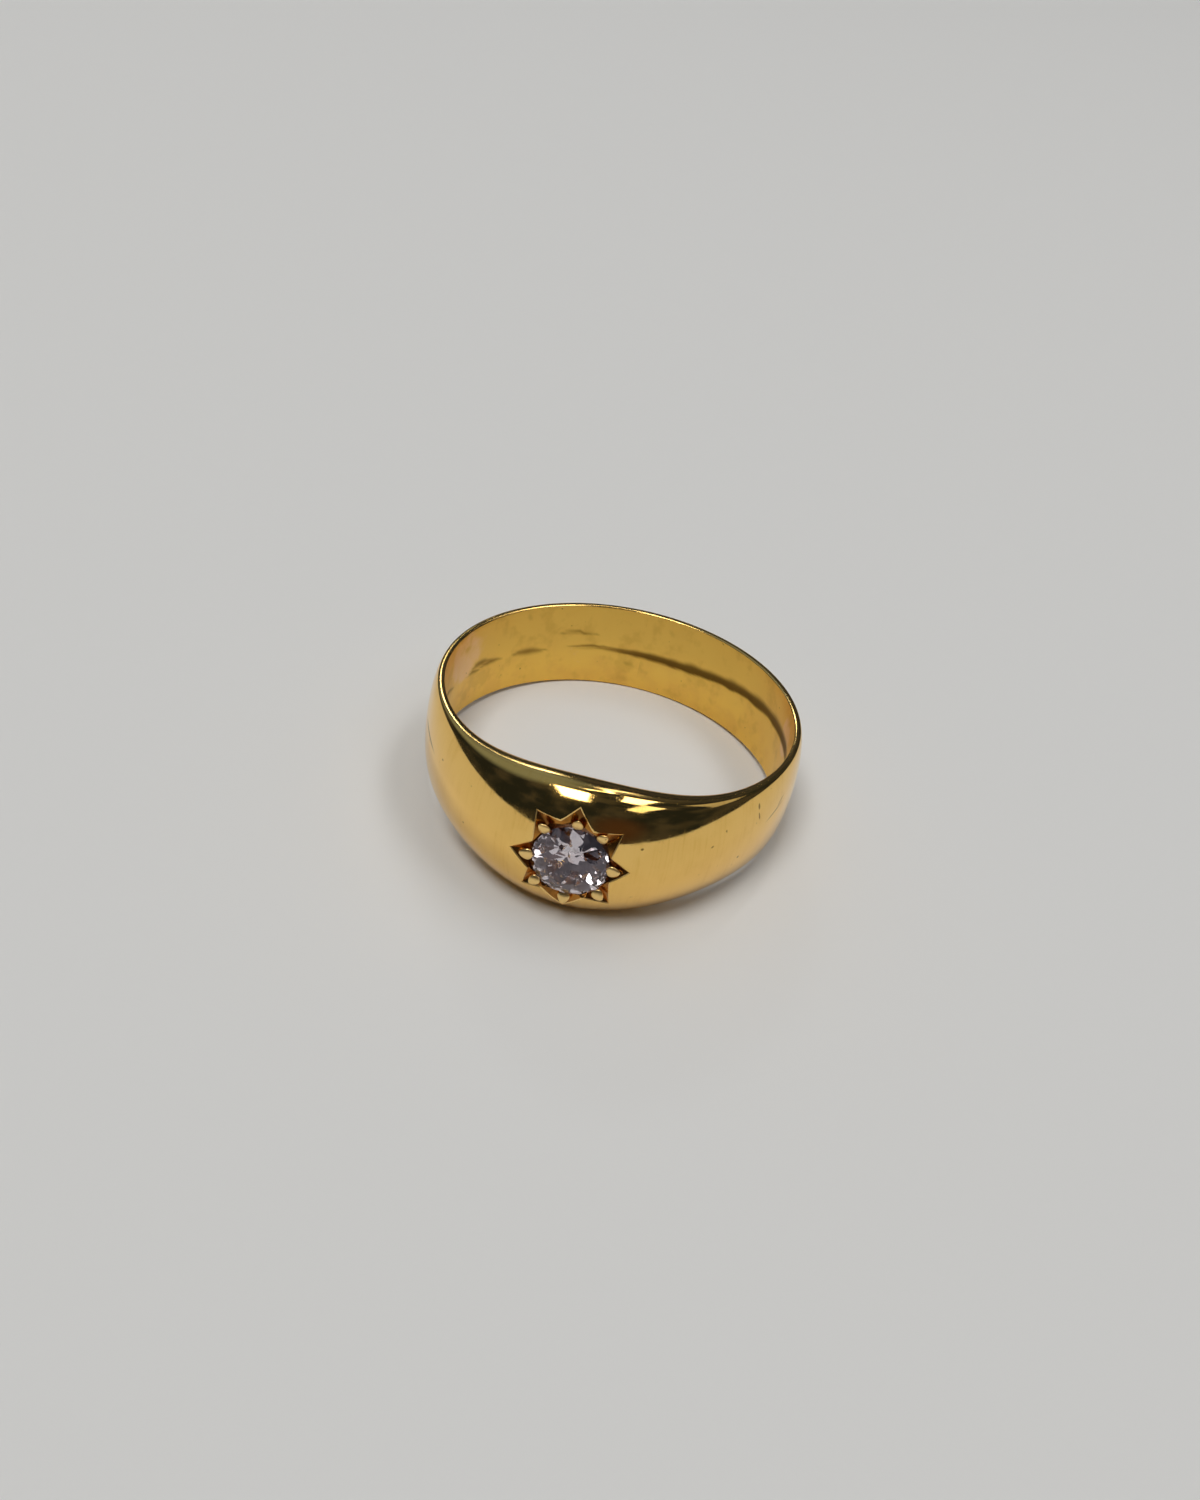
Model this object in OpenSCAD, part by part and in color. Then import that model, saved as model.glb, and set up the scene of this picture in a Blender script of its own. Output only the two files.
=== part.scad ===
// Domed gold ring with one old-cut stone sunk in an eight-rayed star.
// It lies on its side on the plane z = 0, with the stone facing -Y.
// The head, the wide thick front, is broader than the shank, so the ring leans back a little.

/* [Finger hole] */
// Inside diameter of the ring
bore_d = 18; // [15:0.1:22]

/* [Band] */
// Width of the shank, along the ring's axis
shank_w = 5; // [4:0.1:6]
// Width of the head, rim to rim
head_w = 7; // [6.8:0.1:8]
// Thickness of the shank at the middle of its width
shank_t = 0.65; // [0.5:0.05:1.2]
// Thickness of the head under the stone
head_t = 2.6; // [2.4:0.05:3]
// Thickness of the shank's rims
shank_rim_t = 0.3; // [0.2:0.05:0.4]
// Thickness of the head's rims
head_rim_t = 0.9; // [0.6:0.05:1.1]
// How quickly the head narrows to the shank
width_taper = 12; // [5:1:14]
// How quickly the head thins to the shank
dome_taper = 8; // [5:1:12]
// Fullness of the domed section, 0.5 is an ellipse and 1 a parabola
crown_power = 0.66; // [0.5:0.02:0.8]

/* [Star] */
// How far a ray reaches beyond the stone's edge
ray_reach = 1.05; // [0.9:0.05:1.1]
// Depth of a ray where it meets the stone, below the top of the dome
ray_depth = 0.75; // [0.7:0.05:0.9]
// Radius of one grain, the bead of metal that holds the stone
grain_r = 0.28; // [0.22:0.01:0.3]

/* [Stone] */
// Size of the stone across the corners of its soft cushion outline
stone_d = 3.7; // [3.4:0.05:3.8]
// Depth of the girdle below the top of the dome
girdle_depth = 0.5; // [0.4:0.05:0.6]
// Height of the crown above the girdle
crown_h = 0.5; // [0.4:0.05:0.6]
// Depth of the pavilion below the girdle
pavilion_h = 1.45; // [1.2:0.05:1.5]
// Width of the table as a share of the stone
table_share = 0.52; // [0.45:0.01:0.6]
// Squareness of the outline, 2 is round
cushion_power = 2.15; // [2:0.05:2.4]

/* [Hidden] */
bore_r = bore_d / 2;
apex_r = bore_r + head_t;

// Steps round the band, an odd count so that two corners share the weight at the back
band_steps = 95;
crown_steps = 18;
// The blank's inner wall lies inside the finger hole, which then cuts it away
blank_r = bore_r - 0.5;
round_fn = 180;
bead_fn = 48;

// Stone
stone_r = stone_d / 2;
facet_sides = 8;
girdle_t = 0.06;
mid_share = 0.8;
low_share = 0.35;
culet_share = 0.07;
crown_rise = (crown_h - girdle_t / 2) / (1 - table_share);
pavilion_fall = (pavilion_h - girdle_t / 2) / (1 - culet_share);

// Seat and star
seat_gap = 0.05;
seat_r = stone_r + seat_gap;
culet_hole_r = 1.1;
rays = 8;
ray_tip_r = stone_r + ray_reach;
notch_r = seat_r + 0.17;
lid_lift = 0.6;
skim = 0.02;
floor_depth = 0.45;

// Grains, each clear of the girdle and standing in the root of its ray
grain_gap = 0.035;
grain_circle_r = stone_r + grain_gap + grain_r;
grain_sink = 0.5;
stem_r = grain_r * 0.85;
stem_depth = ray_depth + 0.25;

// Lying at rest: the head's inner edge and the shank's outer edge touch the plane
rest_tilt = atan((head_w - shank_w) / 2 / (2 * bore_r + shank_rim_t));
rest_lift = head_w / 2 * cos(rest_tilt) - bore_r * sin(rest_tilt);
centre_shift = (head_t - shank_t) / 2;

// Share of the head's extra size that is left at the angle a from the front
function bulge(a, taper) = pow((1 + cos(a)) / 2, taper);
function band_w(a) = shank_w + (head_w - shank_w) * bulge(a, width_taper);
function band_t(a) = shank_t + (head_t - shank_t) * bulge(a, dome_taper);
function rim_t(a) = shank_rim_t + (head_rim_t - shank_rim_t) * bulge(a, dome_taper);

// Radius of the outside at the angle a and the height z
function dome(s) = pow(max(0, 1 - s * s), crown_power);
function outer_r(a, z) = bore_r + rim_t(a) + (band_t(a) - rim_t(a)) * dome(2 * z / band_w(a));

// Heights across the band, closer together towards the rims
function crown_z(a, j) = band_w(a) / 2 * sin(180 * j / crown_steps - 90);

function on_ring(a, r, z) = [r * sin(a), -r * cos(a), z];
function section(a) = concat(
    [on_ring(a, blank_r, -band_w(a) / 2)],
    [for (j = [0:crown_steps]) on_ring(a, outer_r(a, crown_z(a, j)), crown_z(a, j))],
    [on_ring(a, blank_r, band_w(a) / 2)]
);

// Point of the dome over (u, v) as seen from the front, by repeated approach to its angle
function on_dome(u, v, a = 0, tries = 5) =
    tries == 0
    ? [u, v, outer_r(a, v) * cos(a)]
    : on_dome(u, v, asin(u / outer_r(a, v)), tries - 1);

// Solid band before any cutting, swept round the finger hole
module band_blank() {
    per = crown_steps + 3;
    points = [for (i = [0:band_steps - 1]) each section(360 * i / band_steps)];
    faces = [
        for (i = [0:band_steps - 1], j = [0:per - 1])
        let (
            i2 = (i + 1) % band_steps,
            j2 = (j + 1) % per,
            p = i * per + j,
            q = i2 * per + j,
            r = i2 * per + j2,
            s = i * per + j2
        )
        each [[p, r, q], [p, s, r]]
    ];
    polyhedron(points, faces);
}

// Turns the front view, x across, y up and z outward, to face -Y
module at_head() {
    rotate([90, 0, 0]) children();
}

// Star of V-cut rays, each deepest beside the stone
module star_recess() {
    turn = 180 / rays;
    corners = 2 * rays;
    function rim_r(i) = i % 2 == 0 ? ray_tip_r : notch_r;
    function rim_xy(i) = rim_r(i) * [sin(turn * i), cos(turn * i)];
    function edge(i) = on_dome(rim_xy(i)[0], rim_xy(i)[1]) - [0, 0, skim];
    function valley(k) = [seat_r * sin(2 * turn * k), seat_r * cos(2 * turn * k), apex_r - ray_depth];
    points = concat(
        [[0, 0, apex_r + lid_lift], [0, 0, apex_r - floor_depth]],
        [for (i = [0:corners - 1]) [rim_xy(i)[0], rim_xy(i)[1], apex_r + lid_lift]],
        [for (i = [0:corners - 1]) edge(i)],
        [for (k = [0:rays - 1]) valley(k)]
    );
    function lid(i) = 2 + (i + corners) % corners;
    function rim(i) = 2 + corners + (i + corners) % corners;
    function low(k) = 2 + 2 * corners + k % rays;
    faces = concat(
        [for (i = [0:corners - 1]) [0, lid(i), lid(i + 1)]],
        [for (i = [0:corners - 1]) each [[lid(i), rim(i), rim(i + 1)], [lid(i), rim(i + 1), lid(i + 1)]]],
        [for (k = [0:rays - 1]) each [[rim(2 * k), low(k), rim(2 * k + 1)], [rim(2 * k), rim(2 * k - 1), low(k)]]],
        [for (k = [0:rays - 1]) each [[rim(2 * k + 1), low(k), low(k + 1)], [low(k), 1, low(k + 1)]]]
    );
    polyhedron(points, faces);
}

// Round seat, a cone under the pavilion and a hole through to the finger hole
module seat() {
    seat_z = apex_r - girdle_depth - girdle_t / 2 - seat_gap;
    slope = pavilion_fall / stone_r;
    rotate_extrude($fn = round_fn)
        polygon([
            [0, bore_r - 1],
            [culet_hole_r, bore_r - 1],
            [culet_hole_r, seat_z - (seat_r - culet_hole_r) * slope],
            [seat_r, seat_z],
            [seat_r, apex_r + lid_lift],
            [0, apex_r + lid_lift]
        ]);
}

// One grain on its stem, standing in the root of a ray
module grain() {
    translate([0, grain_circle_r, apex_r - grain_sink]) sphere(r = grain_r, $fn = bead_fn);
    translate([0, grain_circle_r, apex_r - stem_depth])
        cylinder(h = stem_depth - grain_sink, r = stem_r, $fn = bead_fn);
}

// Ring from the frame of the finger hole to where it lies at rest
module at_rest() {
    translate([0, centre_shift, rest_lift]) rotate([-rest_tilt, 0, 0]) children();
}

module band() {
    color([0.83, 0.62, 0.25]) at_rest() {
        difference() {
            band_blank();
            cylinder(h = 2 * head_w, r = bore_r, center = true, $fn = round_fn);
            at_head() star_recess();
            at_head() seat();
        }
        at_head() for (k = [0:rays - 1]) rotate(360 / rays * k) grain();
    }
}

// Cushion outline: the share of the stone's radius that is reached in the direction a
function cushion(a) = pow(
    pow(abs(sin(a)), cushion_power) + pow(abs(cos(a)), cushion_power), -1 / cushion_power
) / pow(2, 0.5 - 1 / cushion_power);
function facet_ring(r, z, turn, sides) = [
    for (k = [0:sides - 1])
    let (a = 360 / sides * k + turn)
    [r * cushion(a) * sin(a), r * cushion(a) * cos(a), z]
];

// Old cut: small table, high crown, deep pavilion and a visible culet
module cut_stone() {
    n = facet_sides;
    half = 180 / n;
    top = girdle_t / 2;
    mid_z = top + (1 - mid_share * cos(half)) * crown_rise;
    low_z = -top - (1 - low_share * cos(half)) * pavilion_fall;
    points = concat(
        facet_ring(stone_r * table_share, crown_h, 0, n),
        facet_ring(stone_r * mid_share, mid_z, half, n),
        facet_ring(stone_r, top, 0, 2 * n),
        facet_ring(stone_r, -top, 0, 2 * n),
        facet_ring(stone_r * low_share, low_z, half, n),
        facet_ring(stone_r * culet_share, -pavilion_h, 0, n)
    );
    function table(k) = (k + n) % n;
    function mid(k) = n + (k + n) % n;
    function upper(k) = 2 * n + (k + 2 * n) % (2 * n);
    function lower(k) = 4 * n + (k + 2 * n) % (2 * n);
    function deep(k) = 6 * n + (k + n) % n;
    function culet(k) = 7 * n + (k + n) % n;
    faces = concat(
        [[for (k = [0:n - 1]) table(k)]],
        [for (k = [0:n - 1]) each [
            [table(k), mid(k), table(k + 1)],
            [table(k), upper(2 * k), mid(k)],
            [table(k), mid(k - 1), upper(2 * k)],
            [mid(k), upper(2 * k), upper(2 * k + 1)],
            [mid(k), upper(2 * k + 1), upper(2 * k + 2)]
        ]],
        [for (k = [0:2 * n - 1]) each [
            [upper(k), lower(k), lower(k + 1)],
            [upper(k), lower(k + 1), upper(k + 1)]
        ]],
        [for (k = [0:n - 1]) each [
            [deep(k), lower(2 * k + 1), lower(2 * k)],
            [deep(k), lower(2 * k + 2), lower(2 * k + 1)],
            [culet(k), deep(k), lower(2 * k)],
            [culet(k), lower(2 * k), deep(k - 1)],
            [culet(k), culet(k + 1), deep(k)]
        ]],
        [[for (k = [0:n - 1]) culet(n - 1 - k)]]
    );
    polyhedron(points, faces);
}

module stone() {
    color([0.8, 0.78, 0.82]) at_rest() at_head() translate([0, 0, apex_r - girdle_depth]) cut_stone();
}

band();
stone();
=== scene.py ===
import math

import bmesh
import bpy
from mathutils import Matrix, Vector, noise


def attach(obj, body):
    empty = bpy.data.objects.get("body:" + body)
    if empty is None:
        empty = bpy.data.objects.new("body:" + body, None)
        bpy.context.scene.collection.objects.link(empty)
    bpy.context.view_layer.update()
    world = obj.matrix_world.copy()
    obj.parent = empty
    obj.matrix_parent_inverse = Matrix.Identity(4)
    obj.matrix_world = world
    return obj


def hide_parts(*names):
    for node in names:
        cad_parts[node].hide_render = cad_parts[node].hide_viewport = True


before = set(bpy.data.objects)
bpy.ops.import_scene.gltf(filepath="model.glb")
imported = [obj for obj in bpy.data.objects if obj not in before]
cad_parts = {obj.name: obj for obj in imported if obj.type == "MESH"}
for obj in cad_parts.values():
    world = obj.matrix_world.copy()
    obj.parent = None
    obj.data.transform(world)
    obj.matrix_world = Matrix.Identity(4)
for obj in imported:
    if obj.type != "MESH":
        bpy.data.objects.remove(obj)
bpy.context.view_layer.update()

print("frame loaded, nodes:", sorted(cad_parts))

mm = 0.001
near = 1e-4  # points closer than this are taken as one

# Shape of the ring, in millimetres, about the axis of the finger hole
ringShape = {
    "boreRadius": 9.0,
    "shankWidth": 5.0,
    "headWidth": 7.0,
    "shankThickness": 0.65,
    "headThickness": 2.6,
    "shankRim": 0.3,
    "headRim": 0.9,
    "widthTaper": 12,
    "domeTaper": 8,
    "crownPower": 0.66,
}
boreRadius = ringShape["boreRadius"]
apexRadius = boreRadius + ringShape["headThickness"]

# Lying on its side, the head's inner edge and the back's outer edge carry it
restTilt = math.atan(
    (ringShape["headWidth"] - ringShape["shankWidth"]) / 2 / (2 * boreRadius + ringShape["shankRim"])
)
restLift = ringShape["headWidth"] / 2 * math.cos(restTilt) - boreRadius * math.sin(restTilt)
centreShift = (ringShape["headThickness"] - ringShape["shankThickness"]) / 2
toRest = (
    Matrix.Translation((0, centreShift * mm, restLift * mm))
    @ Matrix.Rotation(-restTilt, 4, "X")
    @ Matrix.Scale(mm, 4)
)


def bulge(angle, taper):
    return ((1 + math.cos(angle)) / 2) ** taper


def swell(angle, shank, head, taper):
    return ringShape[shank] + (ringShape[head] - ringShape[shank]) * bulge(angle, ringShape[taper])


def bandWidth(angle):
    return swell(angle, "shankWidth", "headWidth", "widthTaper")


def rimThickness(angle):
    return swell(angle, "shankRim", "headRim", "domeTaper")


def outerRadius(angle, share):  # share runs from -1 at the lower rim to 1 at the upper one
    rim = rimThickness(angle)
    dome = max(0.0, 1 - share * share) ** ringShape["crownPower"]
    return boreRadius + rim + (swell(angle, "shankThickness", "headThickness", "domeTaper") - rim) * dome


def onRing(angle, radius, height):
    return Vector((radius * math.sin(angle), -radius * math.cos(angle), height))


# Small helpers for work in edit mode


def isNear(first, second):
    return abs(first - second) < near


def deselectAll():
    if bpy.context.mode != "OBJECT":
        bpy.ops.object.mode_set(mode="OBJECT")
    bpy.ops.object.select_all(action="DESELECT")


def workOn(piece):
    deselectAll()
    piece.select_set(True)
    bpy.context.view_layer.objects.active = piece
    bpy.ops.object.mode_set(mode="EDIT")
    bpy.ops.mesh.select_all(action="DESELECT")


def pickEdges(piece, test):
    bpy.ops.mesh.select_mode(type="EDGE")
    bpy.ops.mesh.select_all(action="DESELECT")
    edit = bmesh.from_edit_mesh(piece.data)
    for edge in edit.edges:
        if test(edge.verts[0].co) and test(edge.verts[1].co):
            edge.select = True
    bmesh.update_edit_mesh(piece.data)


def pickFaces(piece, test):
    bpy.ops.mesh.select_mode(type="FACE")
    bpy.ops.mesh.select_all(action="DESELECT")
    edit = bmesh.from_edit_mesh(piece.data)
    for face in edit.faces:
        if test(face.calc_center_median()):
            face.select = True
    bmesh.update_edit_mesh(piece.data)


def extrudeDown(step, times):
    for _ in range(times):
        bpy.ops.mesh.extrude_region_move(TRANSFORM_OT_translate={"value": (0, 0, -step)})


# Star, seat and band

bandPlan = {
    "columns": 240,  # cells round the band
    "rows": 48,  # cells across it
    "holeCells": 32,  # cells along each side of the square that the star sits in
    "rimFlatSteps": 3,
    "rimArcSteps": 7,
    "holeAngle": math.radians(16.2),
    "holeShare": 0.9,
    "rimRoundShare": 0.62,  # share of the rim's thickness that curls down to the inner wall
    "rimRoundDrop": (0.03, 0.12),  # how far it curls: at a rim of no thickness, and more per millimetre
    "rimOuterDrop": (0.01, 0.05),
    "rimRubAndHighlight": 0.3,  # how far wear has burnished the rims, rougher and with a painted highlight
    "shoulderPower": 9,  # the higher, the later the dome bends down to the rim
    # hand work left in the dome and, last, in the inner wall: height and waves per millimetre
    "unevenness": [(0.012, 0.35), (0.0022, 1.3)],
    "fadingPower": 4,  # the higher, the later the dome evens out to the rim
    "innerUnevenness": (0.006, 0.9),
    "rowSpread": (0.3, 0.7),  # how far the inner rows are even, and how far they crowd at the crease
    "smoothAngle": math.radians(34),
    "weld": 1e-6,  # metres, closes the seam at the back
    "unrolled": (2 * math.pi * 10.5, 7.5),  # the wrap map in millimetres on the outside
}
# Worn crease round the inner wall, with a dark line along it, by degrees from the middle of the back,
# positive to the right
creasePlan = {
    "depth": 0.05,
    "start": (-32, 4),  # where it fades in
    "end": (78, 90),
    "low": -0.22,  # its height on the left
    "rise": 0.78,
    "climb": (5, 62),
    "sag": 0.2,
    "sagging": (66, 90),
    "narrow": 0.12,  # half width on the left
    "wide": 0.29,
    "widening": (-20, 28),
    "wander": (0.05, 0.11),  # how far it strays in height, and waves per degree
    "unevenness": (0.3, 0.23),  # the same in width, as a share of it
    "darkness": 0.97,
    # where the dark fades, in half widths from the middle line
    "softAbove": (0.2, 1.7),
    "crispBelow": (0.7, 1.25),
    # short dark strokes on the left, sunk a little: degrees, raise, half length, thickness
    "strokes": [
        (-43, -0.04, 7.5, 0.19), (-60, -0.02, 6, 0.13), (-65, 0.20, 6, 0.17), (-69, -0.12, 4, 0.10),
        (-88, 0.02, 6, 0.12), (-24, 0.98, 8, 0.08), (-18, 0.10, 10, 0.09),
    ],
    "strokeBend": 0.12,
    "strokeWander": (0.10, 0.35),
    "strokeDarkness": (0.75, 0.35),  # in its middle, and how much less at its ends
    "strokeDepth": 0.5,
    # degrees, height, size
    "spots": [(-44, 2.06, 0.12), (-40, -1.78, 0.10), (-4, -0.96, 0.13), (10, 1.58, 0.09), (30, -1.3, 0.07)],
    "spotDarkness": 0.7,
}
starPlan = {
    "tipRadius": 2.9,
    "notchRadius": 2.07,
    "seatRadius": 1.9,
    "seatRise": 0.12,  # more towards the top, because the stone isn't quite round
    "rayDepth": 0.75,
    "collarRise": 0.19,
    "bevelWidth": 0.085,
    "bevelDrop": 0.045,
    "bevelShare": 0.45,  # of a wall, at most
    "rayFootGap": 0.03,  # from the seat to the foot of a ray
    "notchFootGap": 0.06,
    "notchFootShare": 0.93,  # how far in the foot of a notch lies, at least
    "notchFootDrop": 0.06,
    "seatDepth": 0.58,
    "seatStep": 0.14,
    "holeRadius": 1.1,
    "coneDrop": 0.66,
    "mouthRound": (0.04, 0.03),  # the rounded edge of the hole in the inner wall: out and up
    # how far the hand-cut rays and the notches after them stray, clockwise from the top ray:
    # turn in degrees and extra length, of the ray and then of the notch
    "strays": [
        (-0.5, 0.0, -0.8, 0.12), (0.8, 0.07, -4.0, 0.0),
        (-3.2, -0.10, -9.5, -0.04), (-1.2, 0.03, -6.0, -0.08),
        (0.5, 0.0, 10.0, 0.06), (0.8, 0.02, 0.0, -0.03),
        (-0.4, -0.03, 1.0, -0.03), (4.0, 0.08, 3.0, 0.25),
    ],
}
# Rings of points down the well, from the dome to the inner wall: what each lies on, and how far along it
wellRings = (
    [("skin", share) for share in (0.22, 0.42, 0.58, 0.71, 0.82, 0.90, 0.96)]
    + [("edge", 0), ("bevel", 0.15), ("bevel", 0.85), ("bevel", 1)]
    + [("wall", share) for share in (0.3, 0.62, 1)]
    + [("collar", 0.5), ("collar", 1)]
    + [("seat", 0), ("seat", 0.5), ("seat", 1)]
    + [("hole", 0.15), ("hole", 0.95)]
    + [("liner", share) for share in (0, 0.2, 0.45, 0.72)]
)
wellSteps = len(wellRings) + 1
columns, rows = bandPlan["columns"], bandPlan["rows"]
holeX = bandPlan["holeCells"] / columns
holeY = bandPlan["holeCells"] / rows
holePoints = 4 * bandPlan["holeCells"]
starCorners = 2 * len(starPlan["strays"])
cornerTurn = 360 / starCorners
sectorPoints = holePoints // starCorners
rimSteps = bandPlan["rimFlatSteps"] + bandPlan["rimArcSteps"]


def angleAt(x):
    side = math.copysign(1, x)
    x = abs(x)
    if x <= holeX:
        return side * bandPlan["holeAngle"] * x / holeX
    beyond = (x - holeX) / (1 - holeX)
    return side * (bandPlan["holeAngle"] + (math.pi - bandPlan["holeAngle"]) * beyond)


def outerShareAt(y):
    side = math.copysign(1, y)
    y = abs(y)
    edge = bandPlan["holeShare"]
    if y <= holeY:
        return side * edge * y / holeY
    beyond = (y - holeY) / (1 - holeY)
    return side * (1 - (1 - edge) * (1 - beyond) ** 2)


def rimRounding(angle):  # how far the rim's inner corner is rounded, in and down
    rim = rimThickness(angle)
    base, more = bandPlan["rimRoundDrop"]
    return bandPlan["rimRoundShare"] * rim, base + more * rim


def innerShareAt(y, angle):
    side = math.copysign(1, y)
    y = abs(y)
    edge = bandPlan["holeShare"]
    last = 1 - 2 * rimRounding(angle)[1] / bandWidth(angle)
    if y <= holeY:
        part = y / holeY
        even, crowded = bandPlan["rowSpread"]
        return side * edge * (even * part + crowded * part ** 3)
    return side * (edge + (last - edge) * (y - holeY) / (1 - holeY))


def smoothStep(low, high, value):
    share = max(0.0, min(1.0, (value - low) / (high - low)))
    return share * share * (3 - 2 * share)


def strayAt(unevenness, turn, row, layer=0.0):  # how far an uneven line strays
    size, waves = unevenness
    return size * noise.noise(Vector((turn * waves, row, layer)))


def creaseMark(angle, height):  # how dark the inner wall is, and how deep its crease
    turn = math.degrees(math.pi - abs(angle)) * math.copysign(1, angle)
    plan = creasePlan
    path = plan["low"] + plan["rise"] * smoothStep(*plan["climb"], turn)
    path -= plan["sag"] * smoothStep(*plan["sagging"], turn)
    path += strayAt(plan["wander"], turn, 3.1)
    half = plan["narrow"] + (plan["wide"] - plan["narrow"]) * smoothStep(*plan["widening"], turn)
    half *= 1 + strayAt(plan["unevenness"], turn, 7.7)
    strength = smoothStep(*plan["start"], turn) * (1 - smoothStep(*plan["end"], turn))
    across = (height - path) / half
    groove = strength * math.exp(-across * across)
    fade = plan["softAbove"] if across > 0 else plan["crispBelow"]
    dark = plan["darkness"] * strength * (1 - smoothStep(*fade, abs(across)))
    middle, less = plan["strokeDarkness"]
    for centre, raised, length, thickness in plan["strokes"]:
        along = (turn - centre) / length
        if abs(along) >= 1:
            continue
        bend = plan["strokeBend"] * along * along + strayAt(plan["strokeWander"], turn, centre, 2.0)
        off = (height - path - raised + bend) / (thickness * (1.1 - along * along))
        if abs(off) < 2:
            stroke = math.exp(-off * off) * (middle - less * abs(along))
            dark = max(dark, stroke)
            groove = max(groove, plan["strokeDepth"] * stroke)
    for centre, level, size in plan["spots"]:
        off = math.hypot(math.radians(turn - centre) * boreRadius, height - level) / size
        dark = max(dark, plan["spotDarkness"] * math.exp(-off * off))
    return dark, groove * plan["depth"]


def shoulder(angle):  # how far the dome's edge lies below the top of the rim
    base, more = bandPlan["rimOuterDrop"]
    return base + more * rimThickness(angle)


def skinPoint(angle, share):
    radius = outerRadius(angle, share)
    height = share * bandWidth(angle) / 2
    place = onRing(angle, radius, height)
    ripple = sum(size * noise.noise(place * waves) for size, waves in bandPlan["unevenness"])
    ripple *= 1 - share ** bandPlan["fadingPower"]
    return onRing(angle, radius + ripple, height - share ** bandPlan["shoulderPower"] * shoulder(angle))


def linerPoint(angle, share):
    height = share * bandWidth(angle) / 2
    place = onRing(angle, boreRadius, height)
    size, waves = bandPlan["innerUnevenness"]
    ripple = size * noise.noise(place * waves)
    return onRing(angle, boreRadius + creaseMark(angle, height)[1] + ripple, height)


def toSkin(u, v):  # front view to angle and share, by repeated approach
    angle = 0.0
    for _ in range(6):
        share = max(-1, min(1, 2 * v / bandWidth(angle)))
        angle = math.asin(u / outerRadius(angle, share))
    return angle, 2 * v / bandWidth(angle)


def holeIndex(x, y):  # counts clockwise from the top of the square
    side = bandPlan["holeCells"] // 2
    if isNear(y, holeY):
        return round(side * x / holeX) % holePoints
    if isNear(x, holeX):
        return round(2 * side - side * y / holeY)
    if isNear(y, -holeY):
        return round(4 * side - side * x / holeX)
    return round(6 * side + side * y / holeY) % holePoints


def starCorner(index):  # even corners are the rays' tips, odd ones the notches between them
    index %= starCorners
    stray = starPlan["strays"][index // 2]
    isNotch = index % 2
    turn, extra = stray[2 * isNotch], stray[2 * isNotch + 1]
    radius = starPlan["notchRadius"] if isNotch else starPlan["tipRadius"]
    angle = math.radians(cornerTurn * index + turn)
    return Vector((math.sin(angle), math.cos(angle))) * (radius + extra)


def seatRadiusAt(around):  # around points away from the middle of the stone
    return starPlan["seatRadius"] + starPlan["seatRise"] * max(0.0, around.y) ** 2


def headPoint(u, v, drop=0.0):  # point of the dome over (u, v), sunk by drop
    place = skinPoint(*toSkin(u, v))
    return place + Vector((0, drop, 0))


def starLine(index):
    sector, part = divmod(index, sectorPoints)
    part /= sectorPoints
    rim = starCorner(sector).lerp(starCorner(sector + 1), part)
    toNotch = part if sector % 2 == 0 else 1 - part
    ray = sector + sector % 2
    turn = starPlan["strays"][(ray % starCorners) // 2][0]
    rayAngle = math.radians(cornerTurn * ray + turn)
    lowFlat = Vector((math.sin(rayAngle), math.cos(rayAngle)))
    lowFlat *= seatRadiusAt(lowFlat) + starPlan["rayFootGap"]
    low = Vector((lowFlat.x, -(apexRadius - starPlan["rayDepth"]), lowFlat.y))
    notchFlat = starCorner(sector + 1 - sector % 2)
    nearest = seatRadiusAt(notchFlat.normalized()) + starPlan["notchFootGap"]
    notchFlat *= max(starPlan["notchFootShare"], nearest / notchFlat.length)
    notch = headPoint(notchFlat.x, notchFlat.y, starPlan["notchFootDrop"])
    fold = low.lerp(notch, toNotch)
    return rim, fold, toNotch


def wellPoint(index, ring, border):
    kind, share = wellRings[ring]
    rim, fold, toNotch = starLine(index)
    if kind == "skin":
        angle, part = toSkin(rim.x, rim.y)
        return skinPoint(border[0] + (angle - border[0]) * share, border[1] + (part - border[1]) * share)
    edge = headPoint(rim.x, rim.y)
    if kind == "edge":
        return edge
    inward = fold - edge
    reach = min(starPlan["bevelShare"], starPlan["bevelWidth"] / inward.length)
    bevel = edge + inward * reach
    drop = starPlan["bevelDrop"] * (reach * inward.length) / starPlan["bevelWidth"]
    bevel = headPoint(bevel.x, bevel.z, drop)
    if kind == "bevel":
        return edge.lerp(bevel, share)
    if kind == "wall":
        return bevel.lerp(fold, share)
    around = Vector((fold.x, fold.z)).normalized()
    seatTop = apexRadius - starPlan["rayDepth"] + starPlan["collarRise"] * toNotch

    def onAxis(radius, height):
        return Vector((around.x * radius, -height, around.y * radius))

    if kind == "collar":
        return fold.lerp(onAxis(seatRadiusAt(around), seatTop), share)
    seatFloor = apexRadius - starPlan["seatDepth"] - starPlan["seatStep"]
    coneEnd = seatFloor - starPlan["coneDrop"]
    if kind == "seat":
        wide = seatRadiusAt(around)
        radius = wide + (starPlan["holeRadius"] - wide) * share
        return onAxis(radius, seatFloor + (coneEnd - seatFloor) * share)
    flare, rise = starPlan["mouthRound"]
    if kind == "hole":
        return onAxis(starPlan["holeRadius"], coneEnd + (boreRadius + rise - coneEnd) * share)
    mouth = starPlan["holeRadius"] + flare
    angle = math.asin(around.x * mouth / boreRadius)
    part = 2 * around.y * mouth / bandWidth(angle)
    return linerPoint(angle + (border[0] - angle) * share, part + (border[1] - part) * share)


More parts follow.
